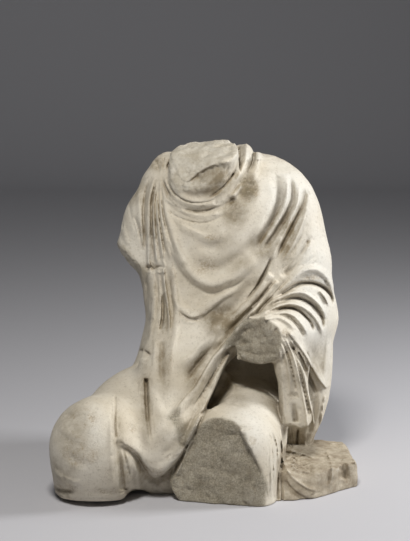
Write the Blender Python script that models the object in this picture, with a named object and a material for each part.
"""Seated man in a cloak, carved from one block of marble, without head, hands and lower legs.

The block is worked out the way a carver thinks of it. First come the big rounded masses:
the cloaked trunk, the thighs, the arm stumps, the lap and the rock he sits on. They run into
each other. Then the folds are drawn over the front, as if on paper held before the figure,
and each stroke raises or lowers the stone under it. The back gets a few broad folds.
The result is one closed body of flat facets. Everything is in metres, +Z is up, and the
figure faces -Y. His right side is on the viewer's left, at -X.
"""
import math

import bpy
import numpy as np

for old in list(bpy.data.objects):
    bpy.data.objects.remove(old, do_unlink=True)

# Sizes, in metres unless the name says otherwise
GRID = 0.005
FACETS = 9700
CENTRE_X = 0.0018
CENTRE_Y = -0.0729
MM = 0.001

# The folds are drawn as seen by someone standing in front and looking slightly down
LOOK_DOWN = math.radians(10)
STAND_OFF = 3.5
EYE_LEVEL = 0.4
PAPER_FOOT = 0.469

# The cloaked trunk, from the floor to the collar: how far it reaches to each side
LEVEL = (-0.03, 0.05, 0.12, 0.20, 0.25, 0.30, 0.35, 0.40, 0.45, 0.50, 0.55, 0.58, 0.60, 0.62, 0.632, 0.640)
TO_RIGHT = (-0.12, -0.13, -0.135, -0.140, -0.130, -0.120, -0.124, -0.126, -0.124, -0.122, -0.118,
            -0.116, -0.110, -0.100, -0.082, -0.05)
TO_LEFT = (0.20, 0.221, 0.248, 0.258, 0.258, 0.253, 0.251, 0.248, 0.242, 0.236, 0.221, 0.204, 0.185,
           0.152, 0.118, 0.08)
TO_FRONT = (-0.12, -0.12, -0.12, -0.125, -0.128, -0.128, -0.126, -0.122, -0.118, -0.110, -0.088,
            -0.066, -0.048, -0.025, -0.002, 0.015)
TO_BACK = (0.15, 0.165, 0.170, 0.168, 0.163, 0.158, 0.155, 0.152, 0.147, 0.137, 0.12, 0.108, 0.10,
           0.09, 0.08, 0.065)
TRUNK_SQUARENESS = 2.35
TRUNK_TOP = 0.646

# Limbs: points along the middle, half widths across, and half widths front to back
RIGHT_ARM = [(-0.088, 0.03, 0.56), (-0.106, 0.02, 0.50), (-0.134, 0.01, 0.425)]
RIGHT_ARM_ACROSS = (0.042, 0.049, 0.050)
RIGHT_ARM_DEEP = (0.06, 0.06, 0.056)
RIGHT_ARM_BREAK = ((-0.158, 0.0, 0.430), (-0.74, -0.25, -0.60))
LEFT_UPPER_ARM = [(0.15, 0.025, 0.53), (0.186, 0.0, 0.42), (0.199, -0.005, 0.31)]
LEFT_UPPER_ACROSS = (0.052, 0.056, 0.056)
LEFT_UPPER_DEEP = (0.07, 0.08, 0.075)
LEFT_FOREARM = [(0.196, -0.01, 0.305), (0.15, -0.10, 0.298), (0.085, -0.19, 0.290)]
LEFT_FORE_ACROSS = (0.058, 0.054, 0.047)
LEFT_FORE_DEEP = (0.058, 0.052, 0.044)
LEFT_ARM_BREAK = ((0.098, -0.17, 0.292), (-0.30, -0.9, -0.05))
RIGHT_THIGH = [(-0.03, 0.05, 0.122), (-0.12, -0.10, 0.112), (-0.205, -0.235, 0.100)]
RIGHT_THIGH_ACROSS = (0.115, 0.099, 0.083)
RIGHT_THIGH_DEEP = (0.115, 0.100, 0.092)
RIGHT_KNEE = [(-0.205, -0.232, 0.100), (-0.208, -0.215, 0.028)]
RIGHT_KNEE_WIDE = (0.083, 0.082)
LEFT_THIGH = [(0.10, 0.08, 0.10), (0.065, -0.12, 0.092), (0.045, -0.222, 0.085)]
LEFT_THIGH_ACROSS = (0.088, 0.088, 0.087)
LEFT_THIGH_DEEP = (0.09, 0.088, 0.087)
LEFT_THIGH_SIDE = [(0.086, -0.19, 0.10), (0.088, -0.19, -0.04)]
LEFT_THIGH_SIDE_WIDE = (0.053, 0.053)
LEFT_THIGH_SIDE_DEEP = (0.090, 0.105)
LEFT_THIGH_ROOT = [(0.0, -0.05, 0.05), (-0.012, -0.25, 0.042)]
LEFT_THIGH_ROOT_ACROSS = (0.06, 0.058)
LEFT_THIGH_ROOT_DEEP = (0.06, 0.055)
LEFT_THIGH_BREAK = ((0.04, -0.272, 0.10), (-0.25, -1, 0.05))
LEFT_THIGH_STEP = ((0.077, -0.288, 0.122), (-0.85, -0.25, -0.42))
LAP = [(-0.17, -0.12, 0.035), (0.02, -0.12, 0.035)]
LAP_ACROSS = (0.075, 0.08)
LAP_DEEP = (0.095, 0.10)

# The neck stump and the rolled edge of the cloak around it
NECK = [(-0.002, 0.006, 0.50), (-0.002, -0.022, 0.565), (-0.003, -0.080, 0.69)]
NECK_WIDE = (0.074, 0.068, 0.067)
NECK_DEEP = (0.078, 0.070, 0.070)
NECK_SQUARENESS = 2.4
NECK_BREAK = ((0.0, -0.05, 0.646), (-0.12, -0.27, 1))
NECK_CHIP = ((-0.037, -0.095, 0.584), (-0.5, -0.8, 0.5))
NECK_SIDE = ((-0.068, -0.06, 0.60), (-1, -0.2, 0.05))
COLLAR = [
    (0.02, 0.115, 0.612), (-0.055, 0.09, 0.620), (-0.082, 0.03, 0.620), (-0.079, -0.025, 0.598),
    (-0.055, -0.068, 0.568), (-0.015, -0.092, 0.549), (0.025, -0.090, 0.552), (0.058, -0.066, 0.575),
    (0.078, -0.02, 0.612), (0.084, 0.035, 0.634), (0.07, 0.085, 0.634), (0.02, 0.115, 0.612),
]
COLLAR_THICK = (0.006, 0.009, 0.009, 0.008, 0.010, 0.010, 0.009, 0.008, 0.012, 0.012, 0.010, 0.006)

# Cloth that stands free of the masses under it
APRON = [(0.0, -0.05, 0.33), (-0.045, -0.13, 0.215), (-0.085, -0.20, 0.12), (-0.094, -0.212, 0.085)]
APRON_WIDE = (0.10, 0.080, 0.060, 0.052)
APRON_DEEP = (0.07, 0.065, 0.06, 0.055)
UPPER_ROLL = [(0.135, -0.105, 0.375), (0.062, -0.135, 0.318), (0.0, -0.145, 0.262), (-0.045, -0.165, 0.215)]
UPPER_ROLL_THICK = (0.009, 0.010, 0.010, 0.006)
LOWER_ROLL = [
    (0.150, -0.098, 0.37), (0.065, -0.131, 0.312), (0.0, -0.156, 0.226), (-0.053, -0.214, 0.158),
    (-0.066, -0.245, 0.09), (-0.078, -0.255, 0.04),
]
LOWER_ROLL_THICK = (0.010, 0.011, 0.013, 0.015, 0.014, 0.012)
SLEEVE_FALL = [(0.142, -0.125, 0.31), (0.168, -0.135, 0.24), (0.180, -0.14, 0.08)]
SLEEVE_WIDE = (0.022, 0.027, 0.034)
SLEEVE_DEEP = (0.035, 0.035, 0.034)
SLEEVE_SQUARENESS = 3
SLEEVE_HEM = ((0.18, -0.14, 0.126), (0.08, 0, -1))
# Flat cuts, as a point and a direction each: below the flap of cloth, under the apron and the knee
FLAP_HEM = ((0.212, -0.06, 0.222), (0.9, 0.0, 0.45))
FLAP_FRONT = ((0, -0.035, 0), (0, 1, 0.15))
FLAP_INNER = ((0.12, 0, 0), (-1, 0, 0))
APRON_RISE = ((-0.12, -0.185, 0.0), (0, 0.4, 1))
APRON_GAP_MIDDLE = -0.126
APRON_GAP_HALF = 0.024
APRON_GAP_SOFT = 0.025
KNEE_RISE = ((-0.2, -0.225, 0.0), (0, 0.16, 1))
KNEE_INNER = -0.12
COLLAR_FLOOR = ((0, -0.09, 0.545), (0, 0.56, -0.83))
COLLAR_ROOM = 0.005

# The deep dark hollow under the left forearm
HOLLOW = [(0.055, -0.10, 0.245), (0.10, -0.10, 0.235), (0.125, -0.12, 0.17)]
HOLLOW_WIDE = (0.045, 0.05, 0.04)
HOLLOW_DEEP = (0.10, 0.10, 0.09)

# What is left of the rock at his left side: flat broken faces, as a point and a direction each
ROCK_FACES = [
    ((0.21, -0.06, 0.051), (0.02, 0.0, 1)),
    ((0.288, -0.08, 0.047), (0.7, 0.05, 0.7)),
    ((0.297, -0.15, 0.03), (1, 0.08, 0.0)),
    ((0.262, -0.189, 0.03), (0.68, -0.74, 0.05)),
    ((0.20, -0.235, 0.03), (0.1, -1, 0.45)),
    ((0.20, 0.01, 0.03), (0.2, 1, 0.1)),
]


def ramp(low, high, t):
    """0 below low, 1 above high, and a smooth rise between them."""
    t = np.clip((t - low) / (high - low), 0, 1)
    return t * t * (3 - 2 * t)


def join(a, b, soft):
    """Both bodies together, with a fillet about soft wide where they meet."""
    if soft <= 0:
        return np.minimum(a, b)
    h = np.maximum(soft - np.abs(a - b), 0) / soft
    return np.minimum(a, b) - h * h * soft / 4


def trim(a, b, soft):
    """Only what two bodies share, with an edge rounded about soft wide."""
    return -join(-a, -b, soft)


def curve_through(t, stations, values):
    """A smooth curve through pairs of station and value."""
    stations = np.asarray(stations, float)
    values = np.asarray(values, float)
    slope = np.gradient(values, stations)
    t = np.clip(t, stations[0], stations[-1])
    i = np.clip(np.searchsorted(stations, t, side="right") - 1, 0, len(stations) - 2)
    gap = stations[i + 1] - stations[i]
    f = (t - stations[i]) / gap
    return (
        values[i] * (1 + 2 * f) * (1 - f) ** 2
        + values[i + 1] * f * f * (3 - 2 * f)
        + gap * (slope[i] * f * (1 - f) ** 2 + slope[i + 1] * f * f * (f - 1))
    )


def bend(points, count):
    """A smooth line of count points through a few points in two or three dimensions."""
    points = np.asarray(points, float)
    steps = np.sqrt(np.linalg.norm(np.diff(points, axis=0), axis=1))
    mile = np.r_[0, np.cumsum(steps)]
    t = np.linspace(0, mile[-1], count)
    return np.stack([curve_through(t, mile, points[:, k]) for k in range(points.shape[1])], 1)


def lumps(x, y, z, size, seed):
    """Smooth random heights between -1 and 1, with lumps about size across."""
    lattice = np.random.default_rng(seed).uniform(-1, 1, (32, 32, 32))
    spots = [c / size + 1000.37 for c in (x, y, z)]
    cell = [np.floor(c).astype(int) for c in spots]
    i, j, k = [c % 32 for c in cell]
    a, b, c = [s - n for s, n in zip(spots, cell)]
    a, b, c = [f * f * (3 - 2 * f) for f in (a, b, c)]
    total = 0.0
    for di, wi in ((0, 1 - a), (1, a)):
        for dj, wj in ((0, 1 - b), (1, b)):
            for dk, wk in ((0, 1 - c), (1, c)):
                total = total + wi * wj * wk * lattice[(i + di) % 32, (j + dj) % 32, (k + dk) % 32]
    return total


def plane(x, y, z, face):
    """Signed distance to a flat face: a point on it, and the direction out of the stone."""
    point, out = face
    out = np.asarray(out, float)
    out = out / np.linalg.norm(out)
    return (x - point[0]) * out[0] + (y - point[1]) * out[1] + (z - point[2]) * out[2]


def broken(x, y, z, face, deep, seed):
    """A flat face roughened as broken stone is, with lumps of two sizes."""
    x, y, z = np.broadcast_arrays(x, y, z)
    d = plane(x, y, z, face)
    near = np.abs(d) < 4 * deep
    spots = (x[near], y[near], z[near])
    d[near] += deep * (0.7 * lumps(*spots, 0.03, seed) + 0.4 * lumps(*spots, 0.011, seed + 1))
    return d


def limb(x, y, z, path, across, deep, facing=(0, -1, 0), soft=0.03, square=2.0):
    """Distance to a limb with oval sections, as wide as across and as thick as deep.

    The sections turn from ovals into rounded boxes as square rises above 2.
    """
    body = None
    path = np.asarray(path, float)
    for n in range(len(path) - 1):
        run = path[n + 1] - path[n]
        px = x - path[n][0]
        py = y - path[n][1]
        pz = z - path[n][2]
        t = np.clip((px * run[0] + py * run[1] + pz * run[2]) / (run @ run), 0, 1)
        qx = px - t * run[0]
        qy = py - t * run[1]
        qz = pz - t * run[2]
        forward = np.array(facing, float)
        forward = forward - (forward @ run) * run / (run @ run)
        forward = forward / np.linalg.norm(forward)
        front = qx * forward[0] + qy * forward[1] + qz * forward[2]
        side = np.sqrt(np.maximum(qx * qx + qy * qy + qz * qz - front * front, 0))
        wide = across[n] + (across[n + 1] - across[n]) * t
        thick = deep[n] + (deep[n + 1] - deep[n]) * t
        a = side / wide
        b = np.abs(front) / thick
        ratio = (a ** square + b ** square) ** (1 / square)
        slope = np.sqrt((a ** (square - 1) / wide) ** 2 + (b ** (square - 1) / thick) ** 2)
        slope = slope / np.maximum(ratio, 1e-3) ** (square - 1)
        distance = (ratio - 1) / np.maximum(slope, 0.7 / np.maximum(wide, thick))
        body = distance if body is None else join(body, distance, soft)
    return body


def roll(x, y, z, path, thick, count=24):
    """Distance to a round roll of cloth along a smooth line."""
    line = bend(path, count)
    radius = np.interp(np.linspace(0, 1, count), np.linspace(0, 1, len(thick)), thick)
    body = None
    for n in range(count - 1):
        run = line[n + 1] - line[n]
        px = x - line[n][0]
        py = y - line[n][1]
        pz = z - line[n][2]
        t = np.clip((px * run[0] + py * run[1] + pz * run[2]) / (run @ run), 0, 1)
        away = np.sqrt((px - t * run[0]) ** 2 + (py - t * run[1]) ** 2 + (pz - t * run[2]) ** 2)
        away = away - (radius[n] + (radius[n + 1] - radius[n]) * t)
        body = away if body is None else np.minimum(body, away)
    return body


def trunk(x, y, z):
    """The cloaked trunk: a stack of rounded squares, closed over the shoulders."""
    level = z[0, 0]
    right = curve_through(level, LEVEL, TO_RIGHT)
    left = curve_through(level, LEVEL, TO_LEFT)
    front = curve_through(level, LEVEL, TO_FRONT)
    back = curve_through(level, LEVEL, TO_BACK)
    closing = np.sqrt(np.clip((TRUNK_TOP - level) / 0.02, 1e-3, 1))
    half_x = (left - right) / 2 * closing
    half_y = (back - front) / 2 * closing
    across = np.abs((x - (right + left) / 2) / half_x)
    deep = np.abs((y - (front + back) / 2) / half_y)
    ratio = (across ** TRUNK_SQUARENESS + deep ** TRUNK_SQUARENESS) ** (1 / TRUNK_SQUARENESS)
    return np.maximum((ratio - 1) * np.minimum(half_x, half_y), level - TRUNK_TOP)


def right_arm(x, y, z):
    """The short stump of his right upper arm, broken off above the elbow."""
    arm = limb(x, y, z, RIGHT_ARM, RIGHT_ARM_ACROSS, RIGHT_ARM_DEEP)
    return trim(arm, broken(x, y, z, RIGHT_ARM_BREAK, 0.004, 3), 0.006)


def left_arm(x, y, z):
    """His left arm, bent forward in its sleeve and broken off at the wrist."""
    upper = limb(x, y, z, LEFT_UPPER_ARM, LEFT_UPPER_ACROSS, LEFT_UPPER_DEEP)
    fore = limb(x, y, z, LEFT_FOREARM, LEFT_FORE_ACROSS, LEFT_FORE_DEEP, facing=(0, 0, 1))
    arm = join(upper, fore, 0.05)
    return trim(arm, broken(x, y, z, LEFT_ARM_BREAK, 0.006, 5), 0.003)


def right_thigh(x, y, z):
    """His right thigh under the cloak, with the knee that carries the front of the block."""
    thigh = limb(x, y, z, RIGHT_THIGH, RIGHT_THIGH_ACROSS, RIGHT_THIGH_DEEP, facing=(0, 0, 1), soft=0.05)
    knee = limb(x, y, z, RIGHT_KNEE, RIGHT_KNEE_WIDE, RIGHT_KNEE_WIDE)
    return join(thigh, knee, 0.03)


def left_thigh(x, y, z):
    """His left thigh, broken off short, so that its rough end faces the viewer.

    The side stands further forward than the break, and meets it in a slanting edge.
    """
    thigh = limb(x, y, z, LEFT_THIGH, LEFT_THIGH_ACROSS, LEFT_THIGH_DEEP, facing=(0, 0, 1), square=2.3)
    side = limb(x, y, z, LEFT_THIGH_SIDE, LEFT_THIGH_SIDE_WIDE, LEFT_THIGH_SIDE_DEEP, square=3)
    root = limb(x, y, z, LEFT_THIGH_ROOT, LEFT_THIGH_ROOT_ACROSS, LEFT_THIGH_ROOT_DEEP)
    whole = join(join(thigh, side, 0.03), root, 0.02)
    end = broken(x, y, z, LEFT_THIGH_BREAK, 0.003, 11)
    step = broken(x, y, z, LEFT_THIGH_STEP, 0.003, 13)
    return trim(whole, np.minimum(end, step), 0.003)


def lap(x, y, z):
    """Cloth over the lap, between the knees and close to the ground."""
    return limb(x, y, z, LAP, LAP_ACROSS, LAP_DEEP)


def apron(x, y, z):
    """The tongue of cloth that hangs from the waist between the knees."""
    return limb(x, y, z, APRON, APRON_WIDE, APRON_DEEP)


def hollow(x, y, z):
    """The deep dark hollow under the left forearm."""
    return limb(x, y, z, HOLLOW, HOLLOW_WIDE, HOLLOW_DEEP)


def neck(x, y, z):
    """The neck stump: broken across, with a larger chip out of its front."""
    stump = limb(x, y, z, NECK, NECK_WIDE, NECK_DEEP, square=NECK_SQUARENESS)
    ends = np.maximum(broken(x, y, z, NECK_BREAK, 0.003, 7), broken(x, y, z, NECK_CHIP, 0.003, 9))
    ends = np.maximum(ends, broken(x, y, z, NECK_SIDE, 0.003, 8))
    return trim(stump, ends, 0.003)


def collar_opening(x, y, z):
    """The space inside the collar, so that the neck stands in it and not in the shoulders."""
    wide = [r + COLLAR_ROOM for r in NECK_WIDE]
    deep = [r + COLLAR_ROOM for r in NECK_DEEP]
    above = plane(x, y, z, COLLAR_FLOOR)
    return trim(limb(x, y, z, NECK, wide, deep, square=NECK_SQUARENESS), above, 0.004)


def collar_roll(x, y, z):
    """The rolled edge of the cloak, all the way round the neck."""
    return roll(x, y, z, COLLAR, COLLAR_THICK, 40)


def sleeve_fall(x, y, z):
    """The end of the sleeve, hanging in front of the hollow, with its cut hem."""
    cloth = limb(x, y, z, SLEEVE_FALL, SLEEVE_WIDE, SLEEVE_DEEP, square=SLEEVE_SQUARENESS)
    return trim(cloth, plane(x, y, z, SLEEVE_HEM), 0.003)


def underside_gap(x, y, z):
    """Under the hanging cloth the stone draws back, so that the hem stands clear of the ground."""
    rise = plane(x, y, z, APRON_RISE)
    return trim(rise, np.abs(x - APRON_GAP_MIDDLE) - APRON_GAP_HALF, APRON_GAP_SOFT)


def knee_edge(x, y, z):
    """The worn lower edge of the knee, which rises a little towards the front."""
    return trim(plane(x, y, z, KNEE_RISE), x - KNEE_INNER, 0.02)


def below_flap(x, y, z):
    """Below the hem of the cloth over the elbow, the stone steps back to the cloak behind."""
    hem = plane(x, y, z, FLAP_HEM)
    front = plane(x, y, z, FLAP_FRONT)
    inner = plane(x, y, z, FLAP_INNER)
    return trim(trim(hem, front, 0.012), inner, 0.01)


def rock(x, y, z):
    """The rock he sits on, as far as it shows at his left side."""
    body = None
    for face in ROCK_FACES:
        d = broken(x, y, z, face, 0.004, 21)
        body = d if body is None else trim(body, d, 0.006)
    return body


def upper_roll(x, y, z):
    """The upper of the two long rolls of cloth that cross the belly towards the right knee."""
    return roll(x, y, z, UPPER_ROLL, UPPER_ROLL_THICK)


def lower_roll(x, y, z):
    """The lower of the two long rolls, which runs on down the edge of the apron."""
    return roll(x, y, z, LOWER_ROLL, LOWER_ROLL_THICK)


class Block:
    """A grid of distances to the surface of the stone, below 0 inside it."""

    def __init__(self, low, high, step):
        self.step = step
        self.low = np.array(low, float)
        self.axes = [np.arange(a, b + step, step) for a, b in zip(low, high)]
        self.field = np.full([len(a) for a in self.axes], 0.2)

    def region(self, low, high):
        """The part of the grid between two corners, and its coordinates."""
        cut = []
        for a, b, axis in zip(low, high, self.axes):
            first = max(0, int((a - axis[0]) / self.step))
            last = max(1, int((b - axis[0]) / self.step) + 2)
            cut.append(slice(first, last))
        x, y, z = [axis[c] for axis, c in zip(self.axes, cut)]
        return tuple(cut), x[:, None, None], y[None, :, None], z[None, None, :]

    def add(self, shape, low, high, soft):
        """Adds a shape, which only touches the part of the grid between two corners."""
        cut, x, y, z = self.region(low, high)
        self.field[cut] = join(self.field[cut], shape(x, y, z), soft)

    def take(self, shape, low, high, soft):
        """Takes a shape away."""
        cut, x, y, z = self.region(low, high)
        self.field[cut] = trim(self.field[cut], -shape(x, y, z), soft)

    def true_distances(self):
        """Divides the grid by its slope, so that it counts in real distance."""
        gx, gy, gz = np.gradient(self.field, self.step)
        self.field = self.field / np.maximum(np.sqrt(gx * gx + gy * gy + gz * gz), 0.2)

    def carve(self, drawing, towards, sight):
        """Raises the surface by a drawing, where it faces the way the drawing is seen from."""
        near = np.argwhere(np.abs(self.field) < 0.03)
        near = near[((near > 0) & (near < np.array(self.field.shape) - 1)).all(1)]
        slope = []
        for axis in range(3):
            ahead = near.copy()
            ahead[:, axis] += 1
            behind = near.copy()
            behind[:, axis] -= 1
            slope.append(self.field[tuple(ahead.T)] - self.field[tuple(behind.T)])
        slope = np.stack(slope, 1)
        slope = slope / np.maximum(np.linalg.norm(slope, axis=1), 0.4 * self.step)[:, None]
        facing = ramp(0.0, 0.4, slope @ np.asarray(towards))
        x, y, z = [axis[near[:, n]] for n, axis in enumerate(self.axes)]
        u, h = sight(x, y, z)
        self.field[tuple(near.T)] -= drawing.at(u, h) * facing


class Drawing:
    """Folds drawn at full size on a sheet: a height for each spot of it."""

    def __init__(self, low, high, step=0.002):
        self.low = np.array(low, float)
        self.step = step
        self.u = np.arange(low[0], high[0] + step, step)
        self.h = np.arange(low[1], high[1] + step, step)
        self.height = np.zeros((len(self.u), len(self.h)))

    def fold(self, points, wide, high, ends=(0.12, 0.12)):
        """One fold along a line of points in mm: its height, widest at the middle of the fold.

        wide is its half width in mm on the left and on the right of the line. high is its
        height in mm, or several heights spread along it, below 0 for a groove. ends say over
        what share of the line it fades in and out.
        """
        line = bend(np.asarray(points, float) * MM, 36)
        best = np.full(self.height.shape, np.inf)
        along = np.zeros(self.height.shape)
        side = np.zeros(self.height.shape)
        u = self.u[:, None]
        h = self.h[None, :]
        for n in range(len(line) - 1):
            run = line[n + 1] - line[n]
            t = np.clip(((u - line[n][0]) * run[0] + (h - line[n][1]) * run[1]) / (run @ run), 0, 1)
            du = u - line[n][0] - t * run[0]
            dh = h - line[n][1] - t * run[1]
            away = du * du + dh * dh
            closer = away < best
            best = np.where(closer, away, best)
            along = np.where(closer, (n + t) / (len(line) - 1), along)
            side = np.where(closer, run[0] * dh - run[1] * du, side)
        width = np.where(side > 0, wide[0], wide[1]) * MM
        share = np.clip(np.sqrt(best) / width, 0, 1)
        fade = ramp(0, max(ends[0], 1e-6), along) * ramp(0, max(ends[1], 1e-6), 1 - along)
        if np.ndim(high):
            high = np.interp(along, np.linspace(0, 1, len(high)), high)
        return (1 - share * share) ** 2 * fade * high * MM

    def lay(self, folds):
        """Lays folds side by side: the highest and the deepest show, so creases stay sharp."""
        top = np.zeros(self.height.shape)
        deep = np.zeros(self.height.shape)
        for fold in folds:
            top = np.maximum(top, fold)
            deep = np.minimum(deep, fold)
        self.height += top + deep

    def at(self, u, h):
        """Heights at any spots of the sheet."""
        a = np.clip((u - self.low[0]) / self.step, 0, len(self.u) - 1.001)
        b = np.clip((h - self.low[1]) / self.step, 0, len(self.h) - 1.001)
        i = a.astype(int)
        j = b.astype(int)
        a = a - i
        b = b - j
        g = self.height
        lower = g[i, j] * (1 - a) + g[i + 1, j] * a
        upper = g[i, j + 1] * (1 - a) + g[i + 1, j + 1] * a
        return lower * (1 - b) + upper * b


def from_front(x, y, z):
    """Where a spot of the figure shows on the front drawing."""
    scale = 1 + (y * math.cos(LOOK_DOWN) - (z - EYE_LEVEL) * math.sin(LOOK_DOWN)) / STAND_OFF
    up = (y * math.sin(LOOK_DOWN) + (z - EYE_LEVEL) * math.cos(LOOK_DOWN)) / scale
    return x / scale, up + PAPER_FOOT


def from_back(x, y, z):
    """The back drawing is seen straight on, with his left still at +X."""
    return x, z


def front_folds():
    """The folds over the front, by the part of the figure they lie on."""
    sheet = Drawing((-0.33, -0.02), (0.33, 0.76))
    fold = sheet.fold
    collar_folds(sheet, fold)
    shoulder_pleats(sheet, fold)
    chest_swags(sheet, fold)
    left_arm_folds(sheet, fold)
    apron_swags(sheet, fold)
    thigh_folds(sheet, fold)
    return sheet


def collar_folds(sheet, fold):
    """The rolled edge below the neck, and two thick folds over the left shoulder."""
    sheet.lay([
        fold([(-88, 654), (-70, 610), (-40, 586), (0, 568), (46, 580), (78, 618)], (9, 9), 6),
        fold([(-80, 590), (-40, 566), (0, 555), (50, 570)], (4, 14), 4),
    ])
    sheet.lay([fold([(-80, 592), (-40, 574), (0, 565), (50, 582)], (4, 4), -5)])
    sheet.lay([
        fold([(88, 722), (80, 690), (66, 640)], (10, 9), 8, (0, 0.5)),
        fold([(110, 712), (104, 680), (92, 640)], (9, 12), 9, (0, 0.5)),
    ])
    sheet.lay([fold([(98, 708), (93, 684), (84, 662)], (4, 4), -10, (0, 0.4))])


def shoulder_pleats(sheet, fold):
    """Narrow pleats that fall from the right shoulder to the girdle, and go on below it."""
    pleats = []
    for n in range(5):
        t = n / 4
        line = [(-112 + 40 * t, 665), (-117 + 38 * t, 580), (-120 + 36 * t, 520), (-124 + 46 * t, 470)]
        pleats.append(fold(line, (6, 6), 9 - 2 * t, (0.2, 0.08)))
    sheet.lay(pleats)
    sheet.lay([fold([(-150, 610), (-146, 586), (-128, 540), (-124, 470)], (5, 6), -8, (0.3, 0.1))])
    sheet.lay([
        fold([(-80, 600), (-70, 540), (-54, 498), (-30, 458)], (16, 8), 6),
        fold([(-78, 560), (-68, 510), (-56, 470)], (6, 6), -4),
    ])
    sheet.lay([
        fold([(-106, 474), (-106, 410), (-110, 330), (-116, 300)], (9, 9), 7, (0.05, 0.2)),
        fold([(-72, 474), (-65, 410), (-62, 338), (-72, 262), (-84, 210)], (9, 8), 9, (0.08, 0.2)),
        fold([(-86, 466), (-83, 410), (-86, 360), (-90, 316)], (7, 7), [-8, -14, -14, -8]),
        fold([(-90, 330), (-90, 262), (-86, 210)], (8, 8), -8, (0.3, 0.3)),
    ])


def chest_swags(sheet, fold):
    """Broad swags that hang across the chest and belly, up to the left shoulder."""
    first = [(-84, 560), (-60, 500), (-30, 450), (10, 428), (60, 452), (106, 493), (125, 522), (146, 580)]
    second = [(-72, 478), (-54, 401), (-20, 367), (14, 377), (58, 420), (100, 460)]
    sheet.lay([
        fold(first, (34, 13), 10, (0.2, 0.2)),
        fold(second, (28, 12), 10),
        fold([(20, 398), (70, 428), (112, 474)], (14, 14), -5),
        fold([(-34, 330), (20, 345), (70, 395), (110, 440)], (16, 14), -7),
    ])


def left_arm_folds(sheet, fold):
    """Valleys down the upper arm, and the bunched cloth in the crook of the elbow."""
    sheet.lay([
        fold([(143, 650), (152, 616), (139, 566), (112, 516)], (12, 12), -6),
        fold([(174, 632), (178, 608), (158, 578), (134, 530)], (9, 9), -7),
        fold([(200, 612), (183, 570), (168, 534), (150, 500)], (8, 8), -6),
        fold([(162, 625), (150, 580), (128, 540)], (9, 9), 4),
        fold([(190, 605), (170, 560), (152, 520)], (8, 8), 4),
    ])
    sheet.lay([
        fold([(134, 540), (126, 480), (90, 430), (40, 375), (-14, 326)], (9, 7), -9),
        fold([(176, 530), (152, 496), (134, 450)], (7, 6), -9),
        fold([(206, 512), (175, 465), (146, 432)], (6, 6), -9),
        fold([(156, 514), (130, 466)], (7, 7), 5),
        fold([(198, 522), (164, 472), (142, 444)], (8, 7), 6),
    ])
    sheet.lay([
        fold([(128, 400), (154, 428), (183, 449), (212, 458), (240, 446), (258, 411)], (8, 8), 8),
        fold([(130, 404), (154, 417), (183, 426), (208, 421), (227, 406), (240, 372)], (6, 6), 8),
        fold([(130, 392), (156, 400), (179, 403), (198, 394), (214, 377), (232, 350)], (6, 6), 8),
        fold([(130, 384), (160, 387), (179, 376), (194, 358), (204, 336)], (6, 6), 6),
    ])
    sheet.lay([
        fold([(172, 438), (202, 439), (231, 431), (256, 408)], (7, 7), -20, (0.25, 0.12)),
        fold([(160, 409), (187, 411), (206, 400), (223, 385), (236, 358)], (6, 6), -16, (0.25, 0.12)),
        fold([(150, 391), (172, 392), (190, 380), (208, 356)], (6, 6), -14, (0.25, 0.12)),
    ])
    sheet.lay([
        fold([(145, 356), (164, 300), (172, 240), (174, 170)], (6, 6), 5, (0.1, 0)),
        fold([(160, 334), (184, 285), (206, 220), (218, 172)], (7, 6), 6, (0.1, 0)),
        fold([(168, 318), (182, 250), (186, 170)], (6, 6), [-2, -8, -12], (0.1, 0)),
        fold([(168, 346), (190, 300), (208, 262), (216, 240)], (8, 8), [-6, -14, -14, -8], (0.2, 0.1)),
    ])


def apron_swags(sheet, fold):
    """Rounded swags of the cloth that hangs between the knees, and its hem."""
    sheet.lay([
        fold([(-90, 290), (-84, 220), (-70, 178), (-45, 188), (-20, 224), (10, 268), (46, 325)], (16, 13), 10),
        fold([(-124, 250), (-117, 168), (-102, 106), (-78, 86), (-56, 112), (-22, 160), (0, 205)], (14, 9), 9),
        fold([(-170, 136), (-127, 96), (-107, 74), (-83, 70), (-57, 100)], (10, 5), 6),
        fold([(-84, 160), (-70, 138), (-40, 160), (-10, 205)], (16, 12), -9),
        fold([(-128, 84), (-102, 60), (-76, 56), (-54, 84)], (5, 9), -9),
    ])


def thigh_folds(sheet, fold):
    """Grooves in the cloth over the right thigh, and the fan of folds below them."""
    sheet.lay([
        fold([(-124, 250), (-126, 200), (-120, 150), (-108, 106)], (7, 6), [-8, -20, -16, -5], (0.02, 0.2)),
        fold([(-178, 212), (-177, 170), (-174, 110), (-172, 60), (-166, 14)], (6, 6),
             [-3, -8, -12, -16, -14], (0.2, 0)),
        fold([(-160, 118), (-152, 70), (-140, 20)], (6, 6), [-3, -9, -9], (0.2, 0)),
        fold([(-166, 100), (-160, 60), (-154, 20)], (5, 5), 6, (0.2, 0)),
        fold([(-150, 100), (-138, 60), (-124, 22)], (6, 8), 6, (0.2, 0)),
    ])


def back_folds():
    """A few broad folds: the cloak is drawn from the right hip up over the left shoulder."""
    sheet = Drawing((-0.33, -0.02), (0.33, 0.76))
    fold = sheet.fold
    sweeps = []
    for n in range(6):
        low = 40 + 62 * n
        high = 330 + 46 * n
        rise = high - low
        line = [(-135, low), (-50, low + 0.22 * rise), (60, low + 0.55 * rise), (190 - 12 * n, high)]
        sweeps.append(fold(line, (16, 20), 7, (0.1, 0.25)))
    sheet.lay(sweeps)
    sheet.lay([
        fold([(-90, 640), (-60, 600), (0, 580), (60, 596), (100, 640)], (14, 14), 6),
        fold([(-100, 600), (-60, 556), (10, 536), (90, 560), (140, 610)], (14, 16), 5),
        fold([(205, 300), (222, 200), (228, 60)], (12, 12), 6, (0.2, 0)),
        fold([(150, 250), (166, 150), (172, 40)], (14, 14), 6, (0.2, 0)),
    ])
    return sheet


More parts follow.
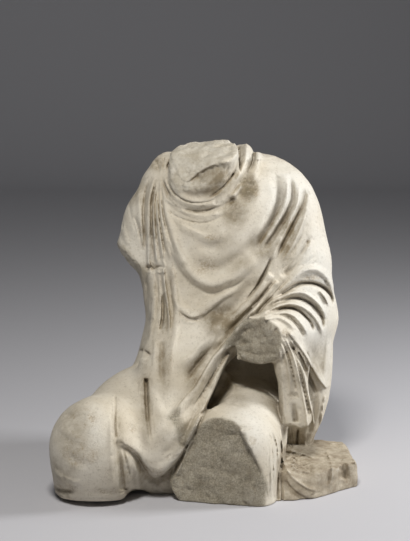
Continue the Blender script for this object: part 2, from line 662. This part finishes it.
def box_around(*parts):
    """Two corners of a box around some limbs, each a path and its half widths, with room to spare."""
    room = 0.04
    low = []
    high = []
    for path, *widths in parts:
        reach = max(max(width) for width in widths) + room
        low.append(np.min(path, 0) - reach)
        high.append(np.max(path, 0) + reach)
    return np.min(low, 0), np.max(high, 0)


def whole_box():
    """The box of the whole grid: around the limbs, the trunk, the neck, the collar and the rock."""
    trunk_corners = [(min(TO_RIGHT), min(TO_FRONT), 0), (max(TO_LEFT), max(TO_BACK), TRUNK_TOP)]
    rock_points = [point for point, out in ROCK_FACES]
    low, high = box_around(
        (RIGHT_ARM, RIGHT_ARM_DEEP), (LEFT_UPPER_ARM, LEFT_UPPER_DEEP), (LEFT_FOREARM, LEFT_FORE_DEEP),
        (RIGHT_THIGH, RIGHT_THIGH_DEEP), (RIGHT_KNEE, RIGHT_KNEE_WIDE), (LEFT_THIGH_SIDE, LEFT_THIGH_SIDE_DEEP),
        (trunk_corners, (0,)), (NECK, (0,)), (COLLAR, COLLAR_THICK), (rock_points, (0,)))
    low[2] = -3.6 * GRID
    return low, high


def carve_block():
    """The whole figure, from the large masses to the folds.

    Each shape is only worked out in the box that it touches.
    """
    whole = whole_box()
    arm_box = box_around((LEFT_UPPER_ARM, LEFT_UPPER_DEEP), (LEFT_FOREARM, LEFT_FORE_DEEP))
    right_thigh_box = box_around((RIGHT_THIGH, RIGHT_THIGH_ACROSS, RIGHT_THIGH_DEEP), (RIGHT_KNEE, RIGHT_KNEE_WIDE))
    left_thigh_box = box_around(
        (LEFT_THIGH, LEFT_THIGH_ACROSS, LEFT_THIGH_DEEP), (LEFT_THIGH_SIDE, LEFT_THIGH_SIDE_DEEP),
        (LEFT_THIGH_ROOT, LEFT_THIGH_ROOT_ACROSS))
    neck_box = box_around((NECK, NECK_WIDE, NECK_DEEP))
    rock_box = box_around(([point for point, out in ROCK_FACES], (0,)), (LEFT_THIGH_SIDE, (0,)))
    block = Block(*whole, GRID)
    block.add(trunk, *whole, 0)
    block.true_distances()
    block.add(right_arm, *box_around((RIGHT_ARM, RIGHT_ARM_ACROSS, RIGHT_ARM_DEEP)), 0.02)
    block.take(hollow, *box_around((HOLLOW, HOLLOW_WIDE, HOLLOW_DEEP)), 0.02)
    block.take(below_flap, *whole, 0.008)
    block.add(right_thigh, *right_thigh_box, 0.03)
    block.add(lap, *box_around((LAP, LAP_ACROSS, LAP_DEEP)), 0.03)
    block.add(apron, *box_around((APRON, APRON_WIDE, APRON_DEEP)), 0.02)
    block.take(underside_gap, *whole, 0.006)
    block.take(knee_edge, *whole, 0.012)
    block.take(collar_opening, *neck_box, 0.002)
    block.add(neck, *neck_box, 0.002)
    block.add(collar_roll, *box_around((COLLAR, COLLAR_THICK)), 0.006)
    block.add(left_thigh, *left_thigh_box, 0.008)
    block.add(left_arm, *arm_box, 0.02)
    block.add(sleeve_fall, *box_around((SLEEVE_FALL, SLEEVE_WIDE, SLEEVE_DEEP)), 0.006)
    block.add(upper_roll, *box_around((UPPER_ROLL, UPPER_ROLL_THICK)), 0.004)
    block.add(lower_roll, *box_around((LOWER_ROLL, LOWER_ROLL_THICK)), 0.004)
    block.add(rock, *rock_box, 0.003)
    block.carve(front_folds(), (0, -math.cos(LOOK_DOWN), math.sin(LOOK_DOWN)), from_front)
    block.carve(back_folds(), (0, 1, 0), from_back)
    return block


def settle(field):
    """Fills corners of the grid where stone would only touch along an edge or at a point."""
    for _ in range(12):
        inside = field < 0
        changed = False
        for a, b in ((0, 1), (0, 2), (1, 2)):
            corner = []
            for da, db in ((0, 0), (1, 0), (0, 1), (1, 1)):
                cut = [slice(None)] * 3
                cut[a] = slice(da, field.shape[a] - 1 + da)
                cut[b] = slice(db, field.shape[b] - 1 + db)
                corner.append(tuple(cut))
            i00, i10, i01, i11 = [inside[c] for c in corner]
            crossed = (i00 == i11) & (i10 == i01) & (i00 != i10)
            if crossed.any():
                changed = True
                for c in corner:
                    field[c] = np.where(crossed & (field[c] >= 0), -0.02 * GRID, field[c])
        corner = []
        for i in (0, 1):
            for j in (0, 1):
                for k in (0, 1):
                    corner.append(tuple(slice(d, n - 1 + d) for d, n in zip((i, j, k), field.shape)))
        inside = field < 0
        counts = sum(inside[c].astype(int) for c in corner)
        pinched = np.zeros(counts.shape, bool)
        for n in range(4):
            a = inside[corner[n]]
            b = inside[corner[7 - n]]
            pinched |= (a == b) & (counts == np.where(a, 2, 6))
        if pinched.any():
            changed = True
            for c in corner:
                field[c] = np.where(pinched & (field[c] >= 0), -0.02 * GRID, field[c])
        if not changed:
            break
    return field


def largest_piece(points, faces):
    """Leaves out any loose crumbs and closed bubbles, and keeps the block itself."""
    piece = np.arange(len(points))
    while True:
        lowest = piece[faces].min(1)
        grown = piece.copy()
        for corner in range(4):
            np.minimum.at(grown, faces[:, corner], lowest)
        grown = grown[grown]
        if (grown == piece).all():
            break
        piece = grown
    kept = piece == np.bincount(piece).argmax()
    number = np.cumsum(kept) - 1
    return points[kept], number[faces[kept[faces[:, 0]]]]


def surface(field, low, step):
    """Points and four-cornered faces of the surface where the field is 0.

    Each cell of the grid that the surface crosses gets one point, the mean of the places
    where its edges are crossed. Each crossed edge gets a face between its four cells.
    """
    inside = field < 0
    counts = np.zeros([n - 1 for n in field.shape], int)
    for i in (0, 1):
        for j in (0, 1):
            for k in (0, 1):
                counts += inside[i:field.shape[0] - 1 + i, j:field.shape[1] - 1 + j, k:field.shape[2] - 1 + k]
    cell = np.argwhere((counts > 0) & (counts < 8))
    number = np.full(counts.shape, -1)
    number[tuple(cell.T)] = np.arange(len(cell))
    total = np.zeros((len(cell), 3))
    hits = np.zeros(len(cell))
    for axis in range(3):
        others = [n for n in range(3) if n != axis]
        for a, b in ((0, 0), (1, 0), (0, 1), (1, 1)):
            start = cell.copy()
            start[:, others[0]] += a
            start[:, others[1]] += b
            end = start.copy()
            end[:, axis] += 1
            near = field[tuple(start.T)]
            far = field[tuple(end.T)]
            hit = (near < 0) != (far < 0)
            point = start.astype(float)
            point[:, axis] += np.where(hit, near / np.where(hit, near - far, 1), 0)
            total[hit] += point[hit]
            hits[hit] += 1
    points = low + step * total / hits[:, None]
    faces = []
    for axis in range(3):
        u = (axis + 1) % 3
        v = (axis + 2) % 3
        first = [slice(None)] * 3
        second = [slice(None)] * 3
        first[axis] = slice(0, -1)
        second[axis] = slice(1, None)
        at = np.argwhere(inside[tuple(first)] != inside[tuple(second)])
        at = at[(at[:, u] > 0) & (at[:, v] > 0)]
        at = at[(at[:, u] < number.shape[u]) & (at[:, v] < number.shape[v])]
        ring = []
        for du, dv in ((-1, -1), (0, -1), (0, 0), (-1, 0)):
            spot = at.copy()
            spot[:, u] += du
            spot[:, v] += dv
            ring.append(number[tuple(spot.T)])
        face = np.stack(ring, 1)
        leaving = inside[tuple(at.T)]
        face[~leaving] = face[~leaving][:, ::-1]
        faces.append(face)
    return points, np.concatenate(faces)


def marble():
    """Pale weathered marble: warm off-white, matt."""
    material = bpy.data.materials.new("marble")
    material.use_nodes = True
    shader = material.node_tree.nodes["Principled BSDF"]
    shader.inputs["Base Color"].default_value = (0.62, 0.585, 0.51, 1)
    shader.inputs["Roughness"].default_value = 0.75
    shader.inputs["Metallic"].default_value = 0
    return material


def ground_cutter():
    """A slab below the ground, which gives the block its sawn flat underside."""
    half = 0.6
    deep = 0.2
    corners = [(x, y, z) for x in (-half, half) for y in (-half, half) for z in (-deep, 0)]
    sides = [(0, 1, 3, 2), (4, 6, 7, 5), (0, 4, 5, 1), (2, 3, 7, 6), (0, 2, 6, 4), (1, 5, 7, 3)]
    mesh = bpy.data.meshes.new("ground_cutter")
    mesh.from_pydata(corners, [], sides)
    cutter = bpy.data.objects.new("ground_cutter", mesh)
    bpy.context.scene.collection.objects.link(cutter)
    cutter.hide_render = True
    cutter.display_type = "WIRE"
    return cutter


def seated_figure():
    """The whole statue as one object, faceted down and cut flat underneath."""
    block = carve_block()
    field = block.field
    field[:, :, 0] = 0.5 * GRID
    points, faces = largest_piece(*surface(settle(field), block.low, GRID))
    points = points - (CENTRE_X, CENTRE_Y, 0)
    mesh = bpy.data.meshes.new("seated_figure")
    mesh.from_pydata(points.tolist(), [], faces.tolist())
    mesh.materials.append(marble())
    figure = bpy.data.objects.new("seated_figure", mesh)
    bpy.context.scene.collection.objects.link(figure)
    facets = figure.modifiers.new("facets", "DECIMATE")
    facets.ratio = FACETS / (2 * len(faces))
    underside = figure.modifiers.new("underside", "BOOLEAN")
    underside.operation = "DIFFERENCE"
    underside.solver = "EXACT"
    underside.object = ground_cutter()
    return figure


seated_figure()
